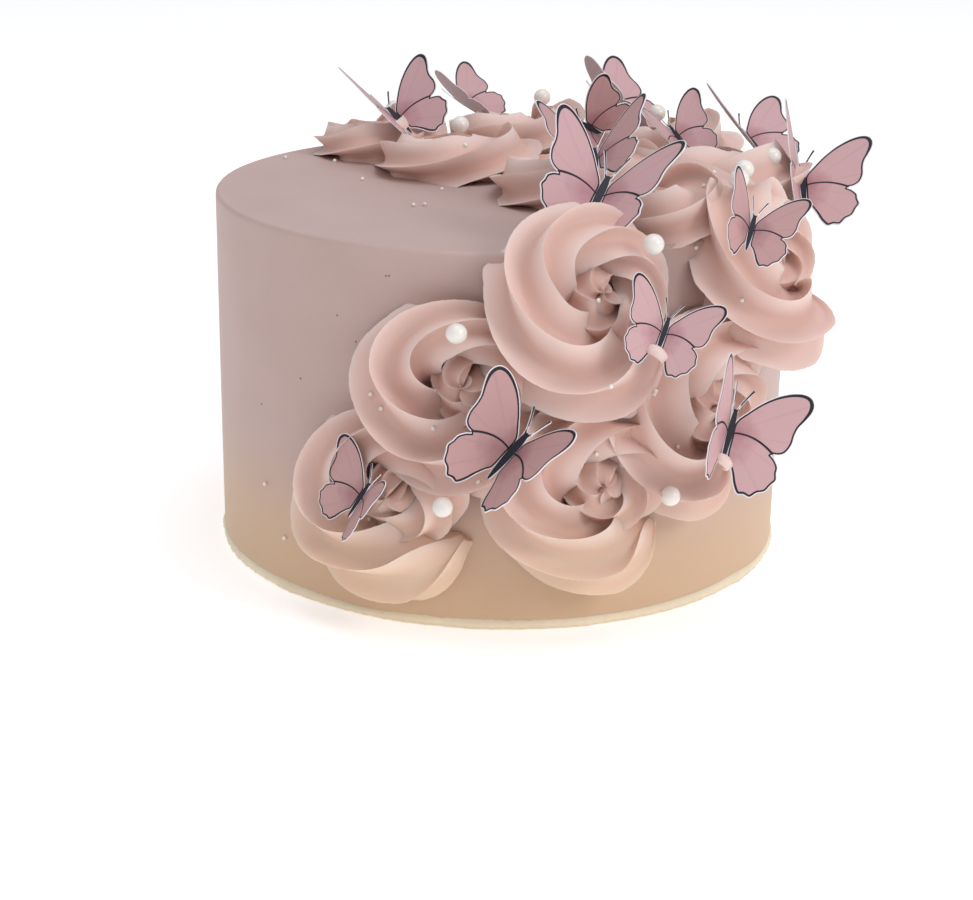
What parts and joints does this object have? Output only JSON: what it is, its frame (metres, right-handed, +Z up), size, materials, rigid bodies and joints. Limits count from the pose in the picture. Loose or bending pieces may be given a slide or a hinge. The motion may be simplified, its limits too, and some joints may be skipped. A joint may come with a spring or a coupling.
{
  "type": "celebration cake with piped rosettes",
  "caption": "Round smooth-iced celebration cake with a cascade of piped cream rosettes, paper butterflies and sugar pearls over its front and top.",
  "frame": {"origin": "centre of the cake's flat round underside", "axes": "+Z up; the decorated front faces -Y; +X to the right seen from the front"},
  "size_m": [0.183, 0.2027, 0.1304],
  "materials": {
    "coat": "smooth buttercream, soft satin",
    "piped": "piped buttercream, soft satin",
    "pearl": "pearl-lustre sugar",
    "card": "printed card, matt"
  },
  "bodies": {
    "root": {"butterfly_back_left": "card", "butterfly_edge_right": "card", "butterfly_far_left": "card", "butterfly_far_right": "card", "butterfly_far_top": "card", "butterfly_front_top": "card", "butterfly_right_top": "card", "butterfly_second_top": "card", "butterfly_side_front": "card", "butterfly_side_high": "card", "butterfly_side_left": "card", "butterfly_side_middle": "card", "butterfly_side_right": "card", "butterfly_third_top": "card", "cake": "coat", "pearl_01": "pearl", "pearl_02": "pearl", "pearl_03": "pearl", "pearl_04": "pearl", "pearl_05": "pearl", "pearl_06": "pearl", "pearl_07": "pearl", "pearl_08": "pearl", "pearl_09": "pearl", "pearl_10": "pearl", "pearl_11": "pearl", "rosette_edge_front": "piped", "rosette_edge_right": "piped", "rosette_left": "piped", "rosette_low_left": "piped", "rosette_low_middle": "piped", "rosette_right": "piped", "rosette_top_back": "piped", "rosette_top_back_right": "piped", "rosette_top_centre": "piped", "rosette_top_front": "piped", "rosette_top_left": "piped", "rosette_top_middle": "piped", "rosette_top_right": "piped"}
  },
  "joints": []
}
